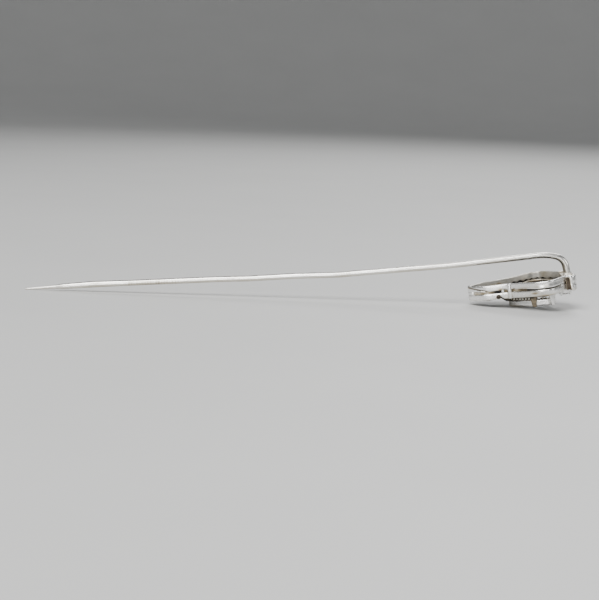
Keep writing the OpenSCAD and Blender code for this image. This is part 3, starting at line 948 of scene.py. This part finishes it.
def bezelShape(point, out, inset, depth):
    c = centre
    share = (depth - galleryEnd) / (bezelEnd - galleryEnd)
    along = (point.x - centreStart + crestEnd) / (centreEnd - centreStart)
    inset += wobble(point.x, point.y, depth, *c["sideWave"]) + c["back"]
    inset += c["hollow"] * math.sin(math.pi * share) * bump(along, *c["hollowPlace"])
    depth -= c["rake"] * (1 - along) * ease(share, 0.1, 1)
    depth += wobble(point.x, point.y, 2, *c["edgeWave"]) * (1 if share > 0.4 else 0.5)
    return inset, depth


def makeBezel():
    c = centre
    top, bottom = galleryEnd, bezelEnd
    straight = bottom - top - 0.25 * mm
    section = [(0.04 * mm, top), (0, top + 0.05 * mm)]
    section += [(0, top + 0.05 * mm + straight * k / 7) for k in range(1, 8)]
    section += [(0.05 * mm, bottom - 0.09 * mm), (0.13 * mm, bottom - 0.025 * mm), (c["rim"], bottom),
                (c["wall"] - 0.04 * mm, bottom - 0.01 * mm), (c["wall"], bottom - 0.06 * mm),
                (c["wall"], top + c["seat"] + 0.04 * mm), (c["seatWall"] - 0.01 * mm, top + c["seat"]),
                (c["seatWall"], top + 0.03 * mm), (0.3 * mm, top)]
    bm = band(centreLine, section, bezelShape)
    return makePiece("centreBezel", bm, bezelSilver, ["centre_bezel"], 50)


def islands(node):
    # middle of each separate lump in a node
    bm = fromNode(node)
    todo = set(bm.verts)
    middles = []
    while todo:
        group = {todo.pop()}
        edge = list(group)
        while edge:
            v = edge.pop()
            for e in v.link_edges:
                other = e.other_vert(v)
                if other in todo:
                    todo.discard(other)
                    group.add(other)
                    edge.append(other)
        middles.append(sum((v.co for v in group), Vector()) / len(group))
    bm.free()
    return sorted(middles, key=lambda p: (round(p.x, 6), p.y))


galleryBead = {
    # radius in millimetres and share of half its height
    "profile": [(0.10, -1.04), (0.135, -0.86), (0.10, -0.72), (0.145, -0.45), (0.172, 0), (0.145, 0.45),
                (0.10, 0.72), (0.135, 0.86), (0.10, 1.04)],
    "change": (0.5 * mm, 0.12),
    "sides": 12,
}


def makeGalleryBeads():
    # each gallery post is a turned bead on a waisted stub
    g = galleryBead
    half = (galleryEnd - baseEnd) / 2
    bm = bmesh.new()
    for middle in islands("gallery_posts"):
        loops = []
        for radius, at in g["profile"]:
            r = radius * mm * (1 + wobble(middle.x, middle.y, 0, *g["change"]))
            loop = []
            for j in range(g["sides"]):
                t = 2 * math.pi * j / g["sides"]
                across = headAlong * math.cos(t) + Vector((0, 1, 0)) * math.sin(t)
                loop.append(middle + headUp * half * at + across * r)
            loops.append(loop)
        strips(bm, loops, False)
    return makePiece("galleryBeads", bm, gallerySilver, ["gallery_posts"], 50)


centreBase = {
    "stations": 440,
    "outer": 0.1 * mm,
    "inner": 0.52 * mm,
    "edge": 0.07 * mm,
    "rows": 6,
    "wave": (0.8 * mm, 0.03 * mm),
    "nicks": 44,
    "nickDepth": 0.03 * mm,
}


def baseShape(point, out, inset, depth):
    b = centreBase
    inset += wobble(point.x, point.y, depth, *b["wave"])
    if depth > deckFace + 0.1 * mm:
        # rope-like row of nicks along the base ring's lower edge
        turn = math.atan2(point.y, point.x - centreStart + crestEnd - 3 * mm)
        inset += b["nickDepth"] * math.cos(turn * b["nicks"])
    return inset, depth


def makeBase():
    b = centreBase
    section = wallSection(b["outer"], b["inner"], deckFace, baseEnd, b["edge"], b["rows"])
    bm = band(centreOutline(b["stations"]), section, baseShape)
    return makePiece("centreBase", bm, gallerySilver, ["centre_base"], 50)


centreGrains = {
    "start": -4.9 * mm,
    "end": -2.9 * mm,
    "pitch": 0.36 * mm,
    "radius": 0.19 * mm,
    "sizeChange": (0.5 * mm, 0.8),
    "depthChange": (0.6 * mm, 0.3 * mm),
    "lumps": (0.2 * mm, 0.25),
}


def makeCentreGrains():
    # bright grains that hold the centre, behind each side claw
    g = centreGrains
    bm = bmesh.new()
    last = None
    for point, out in centreLine:
        inRow = g["start"] < point.x < g["end"] and abs(point.y) > 0.6 * centreHalf
        if inRow and (last is None or (point - last).length > g["pitch"]):
            last = point.copy()
            size = g["radius"] * (1 + wobble(point.x, point.y, 0, *g["sizeChange"]))
            place = onHead(point.x, point.y, baseEnd + wobble(point.x, point.y, 5, *g["depthChange"]))
            made = bmesh.ops.create_uvsphere(bm, u_segments=12, v_segments=8, radius=size)
            for v in made["verts"]:
                v.co *= 1 + wobble(v.co.x + point.x, v.co.y, v.co.z, *g["lumps"])
                v.co += place
    return makePiece("centreGrains", bm, postSilver, [], 60)


makeBezel()
makeBase()
makeGalleryBeads()
makeCentreGrains()
for side in ("left", "right"):
    softened("side_claw_" + side, "sideClaw_" + side, clawSilver, width=0.08 * mm)
    softened("end_claw_" + side, "endClaw_" + side, postSilver, width=0.08 * mm)
softened("crest_setting", "crestSetting", bezelSilver, width=0.04 * mm)
softened("crest_claws", "crestClaws", postSilver, width=0.09 * mm)
softened("lobe_setting", "lobeSetting", bezelSilver, width=0.04 * mm)
print("raised centre done")

brilliant = {
    # shares of the radius, with heights halved
    "table": 0.56,
    "star": 0.8,
    "starHeight": 1.25,
    "crown": 0.17,
    "girdle": 0.03,
    "belly": 0.45,
    "pavilion": 0.43,
}


def cutRound(bm, middle, radius, depth):
    # hull of table, star, girdle and pavilion corners
    b = brilliant
    crown = b["crown"] * radius
    pavilion = b["pavilion"] * radius
    points = []
    for k in range(8):
        a = math.pi * k / 4
        points.append((b["table"] * radius, a, depth + 2 * crown))
        points.append((b["star"] * radius, a + math.pi / 8, depth + b["starHeight"] * crown))
        points.append((b["belly"] * radius, a, depth - pavilion))
    for k in range(16):
        a = math.pi * k / 8
        points.append((radius, a, depth))
        points.append((radius, a, depth + b["girdle"] * radius))
    points.append((0, 0, depth - 2 * pavilion))
    verts = []
    for r, a, d in points:
        verts.append(bm.verts.new(onHead(middle.x + r * math.cos(a), middle.y + r * math.sin(a), d)))
    bmesh.ops.convex_hull(bm, input=verts)


roundStones = {
    "near": 1.2 * mm,  # a stone's own corners lie within this of its middle
    "share": 0.98,  # of the fixed stone's radius
    "shoulderRadius": 0.355 * mm,
}


def makeRoundStones(node, name, radius=0):
    # without a radius it is measured on the fixed stones
    s = roundStones
    bm = bmesh.new()
    top = depths(node)[1]
    for middle in islands(node):
        near = [v.co for v in nodes[node].data.vertices if (v.co - middle).length < s["near"]]
        size = radius or max(abs(p.y - middle.y) for p in near) * s["share"]
        place = Vector((middle.dot(headAlong) - crestEnd, middle.y))
        cutRound(bm, place, size, top - 2 * brilliant["crown"] * size)
    bmesh.ops.dissolve_limit(bm, angle_limit=math.radians(1), verts=bm.verts, edges=bm.edges)
    return makePiece(name, bm, clearStone, [node], 0)


centreCut = {
    "sides": 22,
    "gap": 0.03 * mm,
    "crownStep": 0.12 * mm,
    "girdle": (0.06 * mm, 0.2 * mm),
    "belly": 0.45 * mm,
}


def makeCentreStone():
    # many-sided cut stone inside the bezel
    c = centreCut
    top, bottom = depths("centre_stone")
    line = centreOutline(c["sides"])
    middle = sum((p for p, out in line), Vector((0, 0))) / len(line)
    seat = galleryEnd + centre["seat"]
    # share of the way out to the rim, depth, and one corner to so many sides
    rings = [(0.52, bottom, 2), (0.78, bottom - c["crownStep"], 1), (1, seat + c["girdle"][1], 1),
             (1, seat + c["girdle"][0], 1), (0.62, seat - c["belly"], 2), (0.12, top, 4)]
    bm = bmesh.new()
    verts = []
    for k, (point, out) in enumerate(line):
        rim = point - out * (centre["wall"] + c["gap"])
        for share, depth, every in rings:
            if k % every == 0:
                p = middle + (rim - middle) * share
                verts.append(bm.verts.new(onHead(p.x, p.y, depth)))
    bmesh.ops.convex_hull(bm, input=verts)
    bmesh.ops.dissolve_limit(bm, angle_limit=math.radians(1), verts=bm.verts, edges=bm.edges)
    return makePiece("centreStone", bm, centreGlass, ["centre_stone"], 0)


makeRoundStones("shoulder_stones", "shoulderStones", roundStones["shoulderRadius"])
makeRoundStones("point_stone", "pointStone")
makeRoundStones("crest_stone", "crestStone")
makeRoundStones("lobe_stone", "lobeStone")
makeCentreStone()
nodes["shoulder_grains"].data.materials.clear()
nodes["shoulder_grains"].data.materials.append(postSilver)
print("stones done")

studio = {
    "flat": 0.5,
    "curve": 0.35,
    "curveSteps": 12,
    "rise": 0.12,
    "sides": 96,
    "colour": (0.60, 0.60, 0.59),
    "dimmer": 0.97,
    "patchScale": 40,
    "rough": 0.6,
}


def makeFloor():
    # flat round floor whose rim curves up into a low wall
    s = studio
    bm = bmesh.new()
    profile = [bm.verts.new((0, 0, 0)), bm.verts.new((s["flat"], 0, 0))]
    for k in range(1, s["curveSteps"] + 1):
        t = math.radians(90 * k / s["curveSteps"])
        x = s["flat"] + s["curve"] * math.sin(t)
        profile.append(bm.verts.new((x, 0, s["curve"] * (1 - math.cos(t)))))
    profile.append(bm.verts.new((s["flat"] + s["curve"], 0, s["curve"] + s["rise"])))
    edges = [bm.edges.new(pair) for pair in zip(profile, profile[1:])]
    bmesh.ops.spin(bm, geom=profile + edges, axis=(0, 0, 1), cent=(0, 0, 0),
                   steps=s["sides"], angle=2 * math.pi, use_merge=True)
    bmesh.ops.remove_doubles(bm, verts=bm.verts, dist=1e-6)
    bmesh.ops.recalc_face_normals(bm, faces=bm.faces)
    mesh = bpy.data.meshes.new("floor")
    bm.to_mesh(mesh)
    bm.free()
    mesh.polygons.foreach_set("use_smooth", [True] * len(mesh.polygons))
    floor = bpy.data.objects.new("floor", mesh)
    bpy.context.scene.collection.objects.link(floor)
    material, tree, bsdf, place = startMaterial("floorPaper")
    dim = tuple(c * s["dimmer"] for c in s["colour"])
    colour = blended(tree, cloud(tree, place, s["patchScale"]), [(0.3, dim), (0.7, s["colour"])])
    tree.links.new(colour, bsdf.inputs["Base Color"])
    bsdf.inputs["Roughness"].default_value = s["rough"]
    mesh.materials.append(material)


makeFloor()

camera = {
    "lens": 96.2,
    "distance": 0.1944,
    "elevation": 8.3,
    "azimuth": 0.0,
    "roll": 1.93,
    "target": (0.0, 0.0, -0.00016),
    "clipStart": 0.001,
}


def makeCamera():
    c = camera
    e, a, r = (math.radians(c[k]) for k in ("elevation", "azimuth", "roll"))
    look = Vector((math.sin(a) * math.cos(e), math.cos(a) * math.cos(e), -math.sin(e)))
    right = Vector((math.cos(a), -math.sin(a), 0))
    up = right.cross(look)
    turned = right * math.cos(r) + up * math.sin(r)
    place = Matrix((turned, turned.cross(look), -look)).transposed().to_4x4()
    place.translation = Vector(c["target"]) - look * c["distance"]
    lens = bpy.data.cameras.new("camera")
    lens.lens = c["lens"]
    lens.clip_start = c["clipStart"]
    holder = bpy.data.objects.new("camera", lens)
    bpy.context.scene.collection.objects.link(holder)
    holder.matrix_world = place
    bpy.context.scene.camera = holder


lights = [
    {"name": "topSoftbox", "place": (-0.08, -0.16, 0.34), "size": 0.26, "power": 1.9},
    {"name": "backSoftbox", "place": (0.10, 0.30, 0.24), "size": 0.18, "power": 0.7},
    {"name": "sideFill", "place": (0.32, -0.12, 0.16), "size": 0.14, "power": 0.35},
    {"name": "lowFront", "place": (-0.06, -0.55, 0.10), "size": 0.24, "power": 1.6},
]
sky = {"colour": (0.9, 0.95, 1), "strength": 0.12}


def makeLights():
    world = bpy.data.worlds.new("world")
    world.use_nodes = True
    background = world.node_tree.nodes["Background"]
    background.inputs["Color"].default_value = (*sky["colour"], 1)
    background.inputs["Strength"].default_value = sky["strength"]
    bpy.context.scene.world = world
    for light in lights:
        lamp = bpy.data.lights.new(light["name"], "AREA")
        lamp.size = light["size"]
        lamp.energy = light["power"]
        holder = bpy.data.objects.new(light["name"], lamp)
        bpy.context.scene.collection.objects.link(holder)
        holder.location = light["place"]
        holder.rotation_euler = (-Vector(light["place"])).to_track_quat("-Z", "Y").to_euler()


makeCamera()
makeLights()
print("camera and light set")
